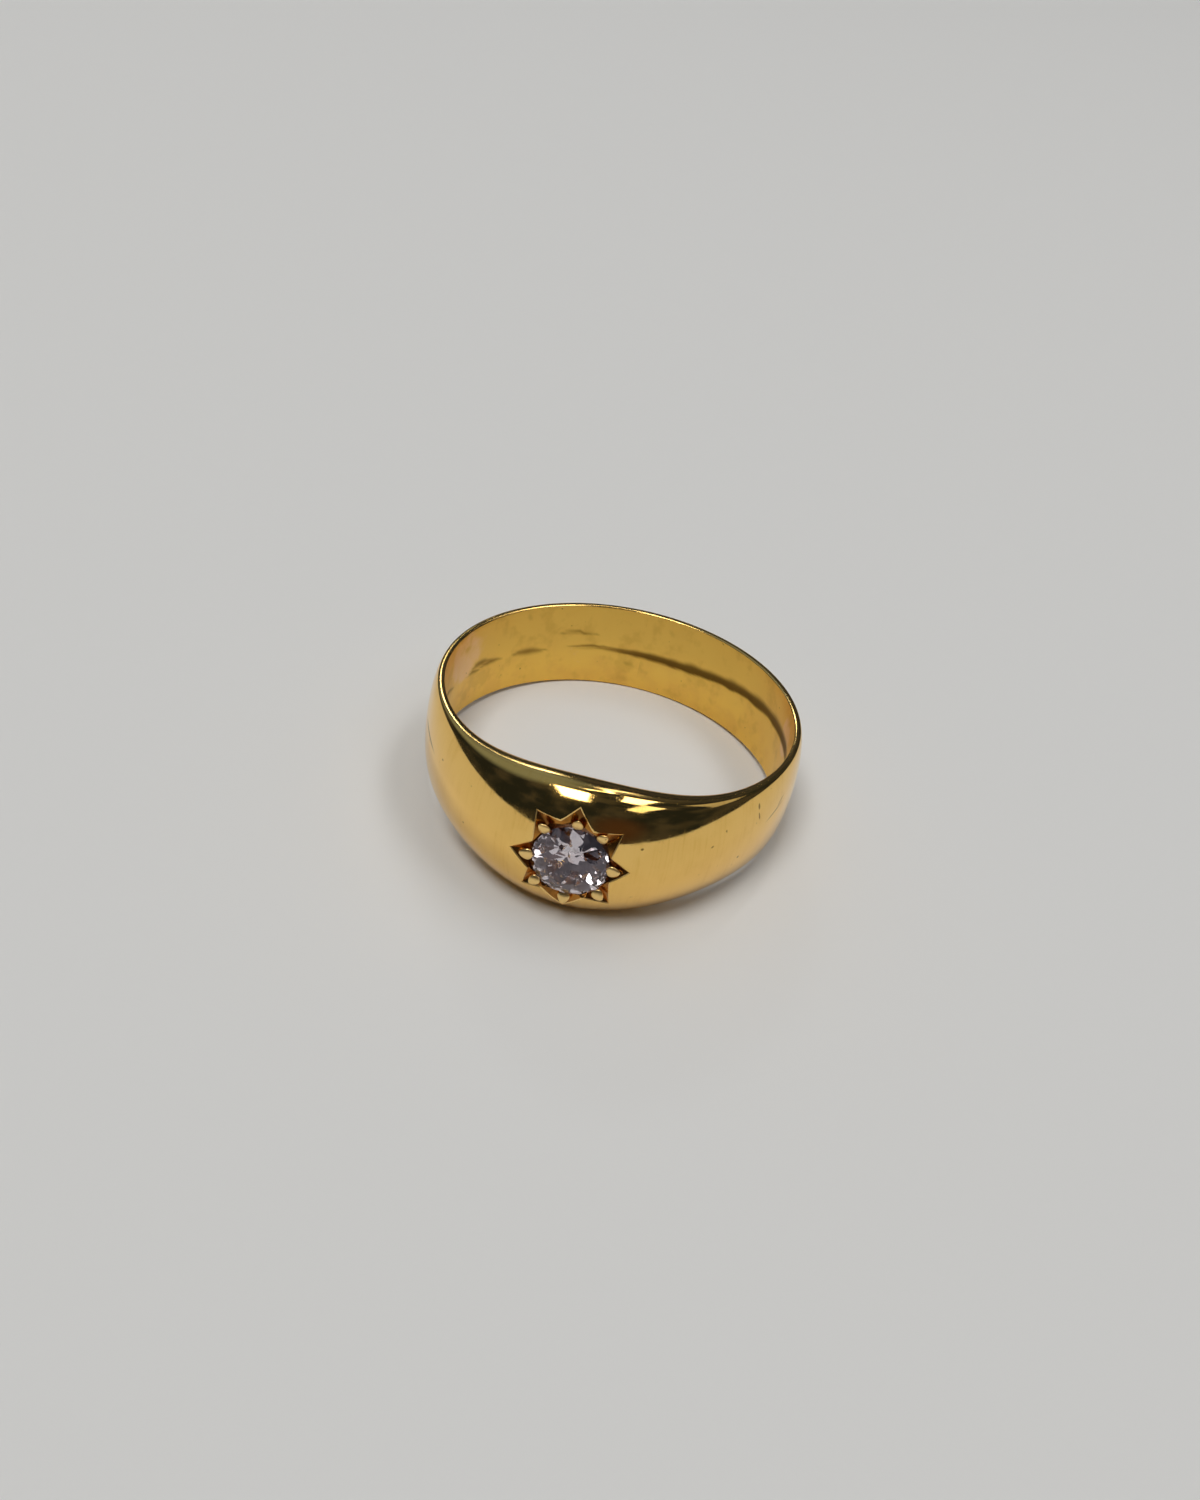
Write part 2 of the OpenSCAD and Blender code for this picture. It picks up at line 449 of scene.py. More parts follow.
def rimPoint(angle, side, step):
    outer = boreRadius + rimThickness(angle)
    inward, down = rimRounding(angle)
    half = bandWidth(angle) / 2
    flat = bandPlan["rimFlatSteps"]
    if step <= flat:
        left = 1 - step / flat
        radius = boreRadius + inward + (outer - boreRadius - inward) * left
        return onRing(angle, radius, side * (half - shoulder(angle) * left * left))
    turn = math.pi / 2 * (step - flat) / bandPlan["rimArcSteps"]
    radius = boreRadius + inward * (1 - math.sin(turn))
    return onRing(angle, radius, side * (half - down * (1 - math.cos(turn))))


def bandPoint(x, y, z):  # place on the ring, how far inside, how sunk, how dark, how burnished with its painted highlight
    ring = round(-z)
    angle = angleAt(x)
    if isNear(z, 0):
        return skinPoint(angle, outerShareAt(y)), 0, 0, 0, 0
    if isNear(z, -wellSteps):
        share = innerShareAt(y, angle)
        return linerPoint(angle, share), 1, 0, creaseMark(angle, share * bandWidth(angle) / 2)[0], 0
    if isNear(abs(y), 1):
        step = round(-z / wellSteps * rimSteps)
        return rimPoint(angle, math.copysign(1, y), step), 0, 0, 0, bandPlan["rimRubAndHighlight"]
    kind, part = wellRings[ring - 1]
    share = innerShareAt(y, angle) if kind == "liner" else outerShareAt(y)
    place = wellPoint(holeIndex(x, y), ring - 1, (angle, share))
    # the star's cut edge is burnished and gets a painted highlight
    cutEdge = kind == "bevel" and part < 1
    isSunk = kind in ("bevel", "wall", "collar", "seat", "hole") and not cutEdge
    return place, int(kind == "liner"), int(isSunk), 0, int(cutEdge)


def makeBand():
    deselectAll()
    bpy.ops.mesh.primitive_grid_add(x_subdivisions=columns, y_subdivisions=rows, size=2)
    band = bpy.context.active_object
    band.name = band.data.name = "gold_band"
    workOn(band)

    # A flat block with a square well: two sheets, joined by the well and by the two rims
    pickFaces(band, lambda c: abs(c.x) < holeX and abs(c.y) < holeY)
    bpy.ops.mesh.delete(type="FACE")
    bpy.ops.mesh.select_mode(type="VERT")
    bpy.ops.mesh.select_all(action="SELECT")
    bpy.ops.mesh.duplicate_move(TRANSFORM_OT_translate={"value": (0, 0, -wellSteps)})

    def onHole(c):
        inside = abs(c.x) < holeX + near and abs(c.y) < holeY + near
        border = isNear(abs(c.x), holeX) or isNear(abs(c.y), holeY)
        return inside and border and isNear(c.z, 0)

    pickEdges(band, onHole)
    extrudeDown(1, wellSteps)
    pickEdges(band, lambda c: isNear(abs(c.y), 1) and isNear(c.z, 0))
    extrudeDown(wellSteps / rimSteps, rimSteps)
    bpy.ops.mesh.select_mode(type="VERT")
    bpy.ops.mesh.select_all(action="SELECT")
    bpy.ops.mesh.remove_doubles(threshold=near)
    bpy.ops.object.mode_set(mode="OBJECT")

    # Every point goes to its place on the ring
    places = [bandPoint(*vertex.co) for vertex in band.data.vertices]
    for value, name in enumerate(("inside", "sunk", "dark", "rubbedAndHighlit"), 1):
        layer = band.data.attributes.new(name, "FLOAT", "POINT")
        layer.data.foreach_set("value", [float(place[value]) for place in places])
    wrap = band.data.uv_layers.active
    wrap.name = "wrap"
    for loop in band.data.loops:
        x = band.data.vertices[loop.vertex_index].co.x
        place = places[loop.vertex_index][0]
        atBack = isNear(abs(x), 1)  # both ends of the grid meet there
        angle = math.copysign(math.pi, x) if atBack else math.atan2(place.x, -place.y)
        wrap.uv[loop.index].vector = (0.5 + angle / (2 * math.pi), 0.5 + place.z / bandPlan["unrolled"][1])
    band.data.vertices.foreach_set("co", [c for place in places for c in toRest @ place[0]])
    band.data.update()
    workOn(band)
    bpy.ops.mesh.select_all(action="SELECT")
    bpy.ops.mesh.remove_doubles(threshold=bandPlan["weld"])
    bpy.ops.mesh.normals_make_consistent(inside=False)
    bpy.ops.object.mode_set(mode="OBJECT")
    print("band:", len(band.data.vertices), "points,", len(band.data.polygons), "faces")
    return band


grainPlan = {
    "radius": 0.27,
    "proud": 0.05,  # how far a grain's top stands above the dome beside it
    "lengthwise": 1.12,
    "height": 0.38,
    "taper": 0.28,  # narrower towards the tip of its ray
    "domeRadius": 9,  # the dome's curve that the grains lean with
    # rubbed tops of the grains, which also get a painted highlight
    "rubbedAndHighlit": 0.9,
    "segments": 32,
    "rings": 20,
    # direction in degrees, distance from the middle and size, clockwise from the top ray
    "places": [
        (1, 2.14, 0.98), (36, 2.16, 0.95), (86, 2.03, 1.06), (133, 2.13, 1.0),
        (180, 2.12, 1.05), (225, 2.10, 0.96), (269, 2.04, 1.08), (317, 2.12, 1.0),
    ],
}


def makeGrains():
    reach = grainPlan["radius"] * grainPlan["lengthwise"]
    deselectAll()
    bpy.ops.mesh.primitive_uv_sphere_add(
        segments=grainPlan["segments"], ring_count=grainPlan["rings"], radius=grainPlan["radius"]
    )
    model = bpy.context.active_object
    model.name = "grain"
    workOn(model)
    bpy.ops.mesh.select_all(action="SELECT")
    bpy.ops.transform.resize(
        value=(1, grainPlan["height"], grainPlan["lengthwise"]), center_override=(0, 0, 0)
    )
    bpy.ops.object.mode_set(mode="OBJECT")
    for vertex in model.data.vertices:
        vertex.co.x *= 1 - grainPlan["taper"] * vertex.co.z / reach
    layer = model.data.attributes.new("rubbedAndHighlit", "FLOAT", "POINT")
    layer.data.foreach_set("value", [grainPlan["rubbedAndHighlit"]] * len(model.data.vertices))

    grains = [model]
    for _ in grainPlan["places"][1:]:
        grain = model.copy()
        grain.data = model.data.copy()
        bpy.context.scene.collection.objects.link(grain)
        grains.append(grain)
    for grain, (direction, circle, size) in zip(grains, grainPlan["places"]):
        angle = math.radians(direction)
        centre = Vector((math.sin(angle), math.cos(angle))) * circle
        dome = headPoint(centre.x, centre.y)
        dome.y += grainPlan["radius"] * size * grainPlan["height"] - grainPlan["proud"]
        lean = Matrix.Rotation(math.atan2(centre.y, grainPlan["domeRadius"]), 4, "X")
        turn = Matrix.Rotation(angle, 4, "Y") @ Matrix.Scale(size, 4)
        grain.data.transform(toRest @ Matrix.Translation(dome) @ lean @ turn)
    return grains


band = makeBand()
grains = makeGrains()
deselectAll()
for grain in grains:
    grain.select_set(True)
band.select_set(True)
bpy.context.view_layer.objects.active = band
bpy.ops.object.join()
bpy.ops.object.shade_smooth_by_angle(angle=bandPlan["smoothAngle"])
print("grains joined to the band")

# The stone is cut facet by facet from a round blank as a cutter does

stonePlan = {
    "radius": 1.85,
    "centre": apexRadius - 0.5,  # height of the girdle above the ring's axis
    "blankSides": 48,  # the rough piece that it is cut from
    "blankHeight": 4.0,
    "blankShare": 1.1,
    "girdle": 0.05,
    "crown": 0.5,
    "pavilion": 1.36,
    # rows of facets: how many, direction of the first, tilt from the table, reach as a share of the radius
    "outline": (24, 0, 90, 1),
    "crownMains": (8, 0, 28.5, 0.985),
    "upperHalves": (16, 11.25, 35, 0.972),
    "stars": (8, 22.5, 17, 0.5122),
    "pavilionMains": (8, 22.5, 141.6, 0.99),
    "lowerHalves": (16, 11.25, 138.8, 0.965),
    "cushion": 0.025,  # how far the outline is squared
    "rise": 0.065,  # how much further it reaches towards the top
    "riseFrom": -0.3,  # below the middle
    "turn": math.radians(6),
    "cutTolerance": 1e-5,
    # degrees that a hand-cut facet may stray, and how its turn and tilt change from cut to cut
    "wander": 1.3,
    "outlineWander": 0.2,
    "wanderWaves": (12.9, 4.7),
}


def cutPlane(place, normal):
    bpy.ops.mesh.select_mode(type="VERT")
    bpy.ops.mesh.select_all(action="SELECT")
    bpy.ops.mesh.bisect(
        plane_co=place, plane_no=normal, use_fill=True, clear_outer=True, clear_inner=False,
        threshold=stonePlan["cutTolerance"],
    )


def makeStone():
    plan = stonePlan
    radius = plan["radius"]
    deselectAll()
    bpy.ops.mesh.primitive_cylinder_add(
        vertices=plan["blankSides"], radius=radius * plan["blankShare"], depth=plan["blankHeight"]
    )
    stone = bpy.context.active_object
    stone.name = stone.data.name = "old_cut_stone"
    workOn(stone)
    turnWaves, tiltWaves = plan["wanderWaves"]
    cuts = 0

    def cut(direction, tilt, reach, level, wander=0.0):
        nonlocal cuts
        cuts += 1
        direction = math.radians(direction + wander * 2 * math.sin(cuts * turnWaves))
        tilt = math.radians(tilt + wander * math.sin(cuts * tiltWaves))
        outward = Vector((math.sin(direction), math.cos(direction), 0))
        normal = outward * math.sin(tilt) + Vector((0, 0, math.cos(tilt)))
        cutPlane(outward * reach + Vector((0, 0, level)), normal)

    def cutRow(name, level, wander, cushion=0.0):
        count, first, tilt, reach = plan[name]
        for side in range(count):
            direction = first + 360 / count * side
            squared = 1 - cushion * math.cos(math.radians(2 * direction)) ** 2
            cut(direction, tilt, radius * reach * squared, level, wander)

    half = plan["girdle"] / 2
    cutRow("outline", 0, plan["outlineWander"], plan["cushion"])
    cutRow("crownMains", half, plan["wander"])
    cutRow("upperHalves", half, plan["wander"])
    cutRow("stars", plan["crown"], plan["wander"])
    cut(0, 0, 0, plan["crown"])  # table
    cutRow("pavilionMains", -half, plan["wander"])
    cutRow("lowerHalves", -half, plan["wander"])
    cut(0, 180, 0, -plan["pavilion"])  # culet
    bpy.ops.mesh.select_all(action="SELECT")
    bpy.ops.mesh.remove_doubles(threshold=near)
    bpy.ops.mesh.normals_make_consistent(inside=False)
    bpy.ops.object.mode_set(mode="OBJECT")
    stone.data.transform(Matrix.Rotation(plan["turn"], 4, "Z"))
    for vertex in stone.data.vertices:
        vertex.co.y *= 1 + plan["rise"] * smoothStep(plan["riseFrom"], radius, vertex.co.y)
    stone.data.transform(
        toRest
        @ Matrix.Rotation(math.pi / 2, 4, "X")
        @ Matrix.Translation((0, 0, plan["centre"]))
    )
    stone.data.update()
    print("stone:", len(stone.data.polygons), "facets")
    return stone


stone = makeStone()

# Materials


def newMaterial(name):
    material = bpy.data.materials.new(name)
    material.use_nodes = True
    nodes = material.node_tree.nodes
    return material, nodes, nodes["Principled BSDF"]


def feed(plug, value):  # the output of a node is linked, any other value is set
    if isinstance(value, bpy.types.NodeSocket):
        plug.id_data.links.new(value, plug)
    else:
        plug.default_value = value


def addNode(nodes, kind, settings=None, **values):
    node = nodes.new("ShaderNode" + kind)
    for name, value in (settings or {}).items():
        setattr(node, name, value)
    for name, value in values.items():
        feed(node.inputs[name], value)
    return node


def addPair(nodes, kind, settings, first, second):  # a node that works on its first two inputs
    node = addNode(nodes, kind, settings)
    feed(node.inputs[0], first)
    feed(node.inputs[1], second)
    return node


def combine(nodes, operation, first, second, clamp=False):
    settings = {"operation": operation, "use_clamp": clamp}
    return addPair(nodes, "Math", settings, first, second).outputs[0]


def blend(nodes, factor, first, second):
    mix = addNode(nodes, "Mix", {"data_type": "RGBA"})
    for name, value in (("Factor", factor), ("A", first), ("B", second)):
        feed(next(plug for plug in mix.inputs if plug.name == name and plug.enabled), value)
    return next(plug for plug in mix.outputs if plug.enabled)


def ramp(nodes, value, low, high, start=0.0, end=1.0):
    node = addNode(nodes, "MapRange", {"interpolation_type": "SMOOTHSTEP"}, Value=value)
    for name, number in (("From Min", low), ("From Max", high), ("To Min", start), ("To Max", end)):
        node.inputs[name].default_value = number
    return node.outputs["Result"]


def newGroup(name, inputs, outputs):
    group = bpy.data.node_groups.new(name, "ShaderNodeTree")
    for side, sockets in (("INPUT", inputs), ("OUTPUT", outputs)):
        for socket, kind in sockets.items():
            group.interface.new_socket(socket, in_out=side, socket_type="NodeSocket" + kind)
    entry, outlet = group.nodes.new("NodeGroupInput"), group.nodes.new("NodeGroupOutput")
    return group, group.nodes, entry.outputs, outlet.inputs


wearPlan = {
    # hairlines in two directions: turn and stretch of the noise, and the values that they fade in between
    "hairlines": [
        ((0.1, 0.2, 0.0), (9, 9, 0.5), (0.60, 0.72)),
        ((0.5, 0.9, 0.4), (11, 0.6, 11), (0.62, 0.74)),
    ],
    "hairlineNoise": (1.0, 2),  # scale and detail, as for the others
    "smearNoise": (0.7, 4),
    "smearRange": (0.40, 0.68),
    "pitNoise": (3.4, 1),
    "pitRange": (0.76, 0.82),
    "grainNoise": (9.0, 2),
    "noiseRoughness": 0.55,
}


# Wear shared by both materials: hairlines, soft smears, small pits and a fine grain
def buildWearGroup():
    group, nodes, given, wanted = newGroup(
        "fine wear",
        {"Millimetres": "Vector", "Size": "Float"},
        dict.fromkeys(("Hairlines", "Smears", "Pits", "Grain"), "Float"),
    )
    sized = addNode(
        nodes, "VectorMath", {"operation": "SCALE"}, Vector=given["Millimetres"], Scale=given["Size"]
    )

    def noiseAt(scale, detail, turn=(0, 0, 0), stretch=(1, 1, 1)):
        turned = addNode(nodes, "Mapping", Vector=sized.outputs[0], Rotation=turn, Scale=stretch)
        return addNode(
            nodes, "TexNoise",
            Vector=turned.outputs[0], Scale=scale, Detail=detail, Roughness=wearPlan["noiseRoughness"],
        ).outputs["Fac"]

    upright, slanting = (
        ramp(nodes, noiseAt(*wearPlan["hairlineNoise"], turn, stretch), *limits)
        for turn, stretch, limits in wearPlan["hairlines"]
    )
    feed(wanted["Hairlines"], combine(nodes, "MAXIMUM", upright, slanting))
    feed(wanted["Smears"], ramp(nodes, noiseAt(*wearPlan["smearNoise"]), *wearPlan["smearRange"]))
    feed(wanted["Pits"], ramp(nodes, noiseAt(*wearPlan["pitNoise"]), *wearPlan["pitRange"]))
    feed(wanted["Grain"], noiseAt(*wearPlan["grainNoise"]))
    return group


def addWear(nodes, group, size):
    place = addNode(nodes, "TexCoord")
    scaled = addNode(nodes, "Mapping", Vector=place.outputs["Object"], Scale=(1 / mm, 1 / mm, 1 / mm))
    wear = addNode(nodes, "Group", {"node_tree": group}, Millimetres=scaled.outputs[0], Size=size)
    return {plug.name: plug for plug in wear.outputs}


# One scuff or patch: an ellipse on the unrolled band that fades from half way out
def buildMarkGroup():
    group, nodes, given, wanted = newGroup(
        "placed mark",
        {"Wrap": "Vector", "Middle": "Vector", "Turn": "Float", "Length": "Float", "Width": "Float"},
        {"Mark": "Float"},
    )
    offset = addPair(nodes, "VectorMath", {"operation": "SUBTRACT"}, given["Wrap"], given["Middle"])
    turned = addNode(
        nodes, "VectorRotate", {"rotation_type": "Z_AXIS"}, Vector=offset.outputs[0], Angle=given["Turn"]
    )
    halves = addNode(nodes, "CombineXYZ", X=given["Length"], Y=given["Width"], Z=1)
    shares = addPair(nodes, "VectorMath", {"operation": "DIVIDE"}, turned.outputs[0], halves.outputs[0])
    reach = addNode(nodes, "VectorMath", {"operation": "LENGTH"}, Vector=shares.outputs[0])
    feed(wanted["Mark"], ramp(nodes, reach.outputs["Value"], 0.5, 1.0, 1.0, 0.0))
    return group


goldPlan = {
    "outside": (0.96, 0.62, 0.185, 1),
    "inside": (0.92, 0.59, 0.120, 1),
    # painted shade: the inside wall is painted darker towards its top, where it mirrors less of the floor
    "shadedUpperInside": (0.80, 0.515, 0.110, 1),
    "shadedUpperRange": (-1.6, 1.2),  # heights that the inside darkens between, painted shade on the upper inside wall
    "smear": (0.84, 0.50, 0.115, 1),
    "smearShare": (0.25, 0.3),  # on the outside, and how much more on the inside
    "amber": (0.45, 0.175, 0.026, 1),  # the cut walls, and where they are darkest
    "ember": (0.10, 0.025, 0.004, 1),
    "cutShare": 0.92,
    # painted highlight: paler gold on burnished rims, cut edges and grain tops
    "paintedHighlight": (0.98, 0.70, 0.30, 1),
    "paintedHighlightShare": 0.7,
    "stain": (0.52, 0.30, 0.055, 1),
    "stainNoise": {"Scale": 0.55, "Detail": 3, "Roughness": 0.6},
    "stainRange": (0.50, 0.66),
    "stainShare": 0.30,
    # faint rosy patches on the inside: degrees round from the front, height, turn, half length, half width
    "rosy": [(-104, 1.0, 8, 2.6, 2.1), (104, 0.9, -8, 1.3, 1.6)],
    "pink": (0.86, 0.58, 0.36, 1),
    "rosyRaggedness": -2.4,
    "rosyRange": (-0.75, 0.0),
    "rosyShare": 0.64,
    # lines that polishing left on the outside
    "lineStretch": (6.5, 0.32, 1),
    "lineNoise": {"Scale": 1, "Detail": 3, "Roughness": 0.6},
    "lineRange": (0.46, 0.72),
    "lineFading": (0.1, 0.7, 0.35, 1.0),  # fainter outside the smears
    "lineShare": 0.5,
    # scuffs on the outside: degrees round from the front, height, turn, half length, half width
    "scuffs": [
        (-61.5, 0.58, -5, 1.9, 0.12), (54, 1.75, -80, 0.22, 0.10), (54.5, 1.20, -70, 0.30, 0.07),
        (64, 0.70, 14, 1.1, 0.055), (67, 1.05, 30, 0.5, 0.05), (16, 1.39, 0, 0.09, 0.07),
        (36, 0.79, 20, 0.11, 0.06), (48, -0.71, 0, 0.10, 0.09), (-46, 0.9, 10, 0.12, 0.06),
        (-31, -0.8, 40, 0.07, 0.07), (140, 0.6, 10, 0.9, 0.05), (-150, -0.8, -25, 0.7, 0.04),
        (95, -0.9, 35, 0.5, 0.04), (-105, 0.3, 75, 0.6, 0.03), (172, -0.4, -12, 1.2, 0.05),
    ],
    # grime in the pits and scuffs, and the dark line along the inner crease
    "grimeAndDarkLine": (0.14, 0.075, 0.012, 1),
    "grimeAndDarkLineShares": {"dark": 0.92, "Pits": 0.7, "scuffed": 0.75},
    # roughness of the polished outside and the satin inside, and what each kind of wear adds
    "polish": 0.06,
    "satin": 0.30,
    "roughness": {
        "Smears": 0.035, "Hairlines": 0.05, "sunk": 0.13, "rubbedAndHighlit": 0.26, "lines": 0.045, "grimeAndDarkLineMask": 0.25,
    },
    "relief": {"Hairlines": -1.0, "Grain": 0.5, "Pits": -3.0, "scuffed": -6.0, "lines": -1.2},
    "reliefHeight": 0.004,
    "reliefStrength": 0.12,
}


def makeGold(wearGroup, markGroup):
    plan = goldPlan
    material, nodes, shader = newMaterial("worn yellow gold")
    shader.inputs["Metallic"].default_value = 1
    masks = addWear(nodes, wearGroup, 1)
    for name in ("inside", "sunk", "dark", "rubbedAndHighlit"):
        reader = addNode(nodes, "Attribute", {"attribute_name": name, "attribute_type": "GEOMETRY"})
        masks[name] = reader.outputs["Fac"]
    width, height = bandPlan["unrolled"]
    wrap = addNode(nodes, "UVMap", {"uv_map": "wrap"})
    unrolled = addNode(
        nodes, "Mapping",
        Vector=wrap.outputs[0], Location=(-0.5 * width, -0.5 * height, 0), Scale=(width, height, 1),
    ).outputs[0]

    def times(first, second):
        return combine(nodes, "MULTIPLY", first, second)

    def plus(first, second):
        return combine(nodes, "ADD", first, second)

    def placeMark(degrees, level, turn, halfLength, halfWidth):
        return addNode(
            nodes, "Group", {"node_tree": markGroup},
            Wrap=unrolled, Middle=(width * degrees / 360, level, 0), Turn=-math.radians(turn),
            Length=halfLength, Width=halfWidth,
        ).outputs["Mark"]

    # Where each kind of wear and darkening lies
    outside = combine(nodes, "SUBTRACT", 1.0, masks["inside"])
    combed = addNode(nodes, "Mapping", Vector=unrolled, Scale=plan["lineStretch"])
    lines = addNode(nodes, "TexNoise", Vector=combed.outputs[0], **plan["lineNoise"])
    lines = ramp(nodes, lines.outputs["Fac"], *plan["lineRange"])
    lines = times(lines, ramp(nodes, masks["Smears"], *plan["lineFading"]))
    masks["lines"] = times(lines, combine(nodes, "SUBTRACT", outside, masks["sunk"], True))
    scuffed = 0.0
    for scuff in plan["scuffs"]:
        scuffed = combine(nodes, "MAXIMUM", placeMark(*scuff), scuffed)
    masks["scuffed"] = times(scuffed, outside)
    # grime in pits and scuffs, and the dark line along the inner crease
    grimeAndDarkLineMask = 0.0
    for name, share in plan["grimeAndDarkLineShares"].items():
        grimeAndDarkLineMask = combine(nodes, "MAXIMUM", grimeAndDarkLineMask, times(masks[name], share))
    masks["grimeAndDarkLineMask"] = grimeAndDarkLineMask

    colour = blend(nodes, masks["inside"], plan["outside"], plan["inside"])
    base, more = plan["smearShare"]
    smeared = times(masks["Smears"], plus(times(masks["inside"], more), base))
    colour = blend(nodes, smeared, colour, plan["smear"])
    cut = blend(nodes, masks["Smears"], plan["amber"], plan["ember"])
    colour = blend(nodes, times(masks["sunk"], plan["cutShare"]), colour, cut)
    # painted highlight: burnished rims, cut edges and grains are painted paler
    colour = blend(nodes, times(masks["rubbedAndHighlit"], plan["paintedHighlightShare"]), colour, plan["paintedHighlight"])
    # painted shade: the inside wall darkens towards its top
    levels = addNode(nodes, "SeparateXYZ", Vector=unrolled)
    upper = times(ramp(nodes, levels.outputs["Y"], *plan["shadedUpperRange"]), masks["inside"])
    colour = blend(nodes, upper, colour, plan["shadedUpperInside"])
    cloudy = addNode(nodes, "TexNoise", Vector=unrolled, **plan["stainNoise"]).outputs["Fac"]
    stains = times(ramp(nodes, cloudy, *plan["stainRange"]), masks["inside"])
    colour = blend(nodes, times(stains, plan["stainShare"]), colour, plan["stain"])
    for patch in plan["rosy"]:
        rosy = plus(placeMark(*patch), times(cloudy, plan["rosyRaggedness"]))
        rosy = ramp(nodes, rosy, *plan["rosyRange"], 0.0, plan["rosyShare"])
        colour = blend(nodes, times(rosy, masks["inside"]), colour, plan["pink"])
    colour = blend(nodes, times(masks["lines"], plan["lineShare"]), colour, plan["smear"])
    colour = blend(nodes, grimeAndDarkLineMask, colour, plan["grimeAndDarkLine"])
    feed(shader.inputs["Base Color"], colour)

    rough = plus(times(masks["inside"], plan["satin"] - plan["polish"]), plan["polish"])
    for name, more in plan["roughness"].items():
        rough = combine(nodes, "ADD", rough, times(masks[name], more), True)
    feed(shader.inputs["Roughness"], rough)

    relief = 0.0
    for name, depth in plan["relief"].items():
        relief = plus(relief, times(masks[name], depth))
    bump = addNode(
        nodes, "Bump", Height=relief, Strength=plan["reliefStrength"], Distance=plan["reliefHeight"] * mm
    )
    feed(shader.inputs["Normal"], bump.outputs[0])
    return material


stoneLook = {
    "clear": (0.82, 0.75, 0.80, 1),
    "cloudy": (0.68, 0.60, 0.66, 1),
    "bend": 2.417,  # refractive index
    "surface": (0.50, 0.43, 0.46, 1),  # dulls what the outside of the stone mirrors
    "wearSize": 1.6,
    "hairlineRoughness": 0.03,
}


def makeDiamond(wearGroup):
    material, nodes, shader = newMaterial("old-cut stone")
    shader.inputs["IOR"].default_value = stoneLook["bend"]
    shader.inputs["Transmission Weight"].default_value = 1
    shader.inputs["Specular Tint"].default_value = stoneLook["surface"]
    wear = addWear(nodes, wearGroup, stoneLook["wearSize"])
    feed(shader.inputs["Base Color"], blend(nodes, wear["Smears"], stoneLook["clear"], stoneLook["cloudy"]))
    rough = ramp(nodes, wear["Hairlines"], 0, 1, 0.0, stoneLook["hairlineRoughness"])
    feed(shader.inputs["Roughness"], rough)
    return material


def dress(piece, material):
    piece.data.materials.clear()
    piece.data.materials.append(material)


fineWear = buildWearGroup()
dress(band, makeGold(fineWear, buildMarkGroup()))
dress(stone, makeDiamond(fineWear))
print("materials made")

# Floor, camera and light

floorPlan = {"size": 8.0, "colour": (0.80, 0.795, 0.785, 1), "roughness": 0.95, "gloss": 0.1}


def layFloor():
    deselectAll()
    bpy.ops.mesh.primitive_plane_add(size=floorPlan["size"], location=(0, 0, 0))
    floor = bpy.context.active_object
    floor.name = "floor"
    material, _, shader = newMaterial("pale floor")
    shader.inputs["Base Color"].default_value = floorPlan["colour"]
    shader.inputs["Roughness"].default_value = floorPlan["roughness"]
    shader.inputs["Specular IOR Level"].default_value = floorPlan["gloss"]
    dress(floor, material)


def pointing(turn, elevation):  # degrees round from the front, and up
    turn, elevation = math.radians(turn), math.radians(elevation)
    level = math.cos(elevation)
    return Vector((math.sin(turn) * level, -math.cos(turn) * level, math.sin(elevation)))


# The view, given about the ring's own axis, in degrees and in millimetres from its middle
viewPlan = {
    "elevation": 34.121,
    "azimuth": 4.65,
    "roll": -11.091,
    "distance": 73.0,
    "across": 0.710,
    "upward": 0.825,
    "focalPixels": 1405.64,
    "imageHeight": 1500,
    "sensor": 36,
    "clip": (0.002, 20),  # metres
}


def aimCamera():
    plan = viewPlan
    azimuth, roll = math.radians(plan["azimuth"]), math.radians(plan["roll"])
    back = pointing(plan["azimuth"], plan["elevation"])
    level = Vector((math.cos(azimuth), math.sin(azimuth), 0))
    up = back.cross(level)
    right = level * math.cos(roll) - up * math.sin(roll)
    up = level * math.sin(roll) + up * math.cos(roll)
    place = back * plan["distance"] - right * plan["across"] - up * plan["upward"]
    turn = Matrix((right, up, back)).transposed().to_4x4()
    lens = bpy.data.cameras.new("camera")
    lens.sensor_width = plan["sensor"]
    lens.lens = plan["focalPixels"] * plan["sensor"] / plan["imageHeight"]
    lens.clip_start, lens.clip_end = plan["clip"]
    camera = bpy.data.objects.new("camera", lens)
    bpy.context.scene.collection.objects.link(camera)
    tilt = Matrix.Rotation(-restTilt, 4, "X")
    camera.matrix_world = Matrix.Translation(toRest @ place) @ tilt @ turn
    bpy.context.scene.camera = camera


lightPlan = {
    "ceiling": 2.0,
    "colour": (1.0, 0.985, 0.95),
    # bright shapes on the ceiling, as if it were one metre up: x, y, width, depth, turn, radiance
    "panels": {
        "panel_left": (-0.21, -0.33, 0.38, 0.57, 0, 8.0),
        "panel_middle": (0.38, 0.28, 0.24, 0.76, 8, 4.4),
        "panel_right": (0.72, -0.34, 0.30, 0.56, 0, 1.7),
        "panel_far": (1.35, 0.45, 1.10, 0.40, -12, 0.4),
        "strip": (0.08, 0.70, 0.045, 0.86, -21, 6.0),
    },
    # behind on the left: degrees round from the front and up, metres away, wide and high, radiance
    "window": (-162.5, 30.5, 2.6, 0.36, 0.21, 8),
    "windowColour": (0.95, 0.98, 1.0),
    # the dim room
    "dark": (0.016, 0.020, 0.026, 1),
    "dim": (0.050, 0.050, 0.055, 1),
    "clutter": {"Scale": 3.5, "Detail": 2, "Roughness": 0.5},
    "clutterRange": (0.42, 0.66),
    # parts of the room that show in the gold: direction, how wide as a cosine from edge to core, colour
    "haze": ((-0.527, 0.369, 0.766), 0.80, 0.97, (0.21, 0.26, 0.31, 1)),
    "warm": ((0.42, -0.83, 0.28), 0.88, 0.98, (0.060, 0.034, 0.024, 1)),
    "backdrop": (0.62, 0.63, 0.64, 1),
    "bounces": 24,  # light goes to and fro in the stone before it comes out
}


